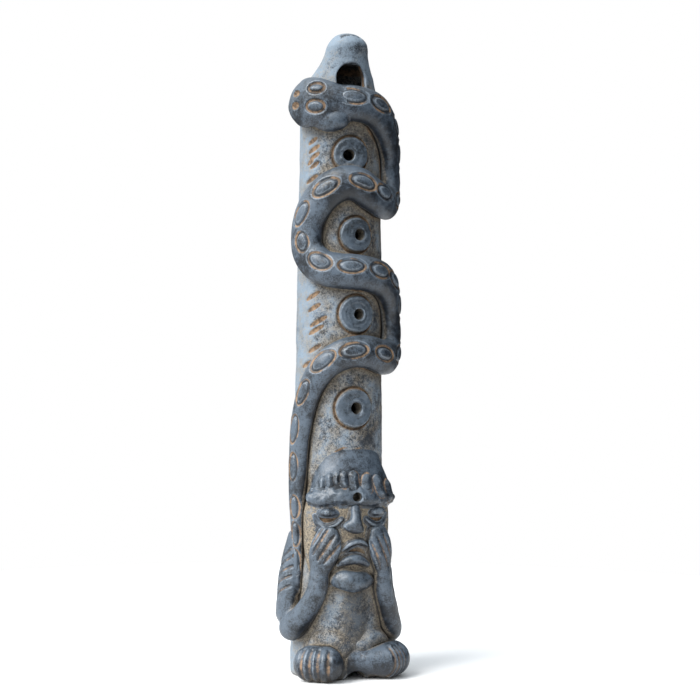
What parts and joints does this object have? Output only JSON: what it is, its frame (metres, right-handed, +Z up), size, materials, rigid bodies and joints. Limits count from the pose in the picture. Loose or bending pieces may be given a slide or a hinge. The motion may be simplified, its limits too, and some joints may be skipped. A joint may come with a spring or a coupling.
{
  "type": "clay duct flute",
  "caption": "Upright clay duct flute with a beak, finger holes in round pads, a snake coiled in relief and a squatting figure at the foot.",
  "frame": {"origin": "centre of the open foot of the bore, on the surface that the flute stands on", "axes": "+Z up along the bore to the beak; the window, the finger holes and the figure's face look towards -Y; names with left_ and right_ are as seen from the front, left at -X"},
  "size_m": [0.0435, 0.0385, 0.2158],
  "materials": {
    "tube_clay": "blackened unglazed clay, dull, with brown earth in its pores and a pale grey bloom",
    "burnished_clay": "blackened clay burnished to a soft slate sheen, ochre earth in its grooves",
    "face_clay": "blackened clay under a film of tan earth, dull"
  },
  "bodies": {
    "root": {"flute_tube": "tube_clay", "mouthpiece": "tube_clay", "windway_plug": "tube_clay", "finger_pad_1": "burnished_clay", "finger_pad_2": "burnished_clay", "finger_pad_3": "burnished_clay", "finger_pad_4": "burnished_clay", "snake_head": "burnished_clay", "snake_body": "burnished_clay", "cap": "burnished_clay", "hair_fringe": "burnished_clay", "cap_rim": "burnished_clay", "face": "face_clay", "nose": "burnished_clay", "upper_lip": "burnished_clay", "lower_lip": "burnished_clay", "chin_roll": "burnished_clay", "left_upper_eyelid": "burnished_clay", "left_lower_eyelid": "burnished_clay", "left_hand": "burnished_clay", "left_forearm": "burnished_clay", "left_upper_arm": "burnished_clay", "left_leg": "tube_clay", "left_foot": "burnished_clay", "right_upper_eyelid": "burnished_clay", "right_lower_eyelid": "burnished_clay", "right_hand": "burnished_clay", "right_forearm": "burnished_clay", "right_upper_arm": "burnished_clay", "right_leg": "tube_clay", "right_foot": "burnished_clay"}
  },
  "joints": []
}
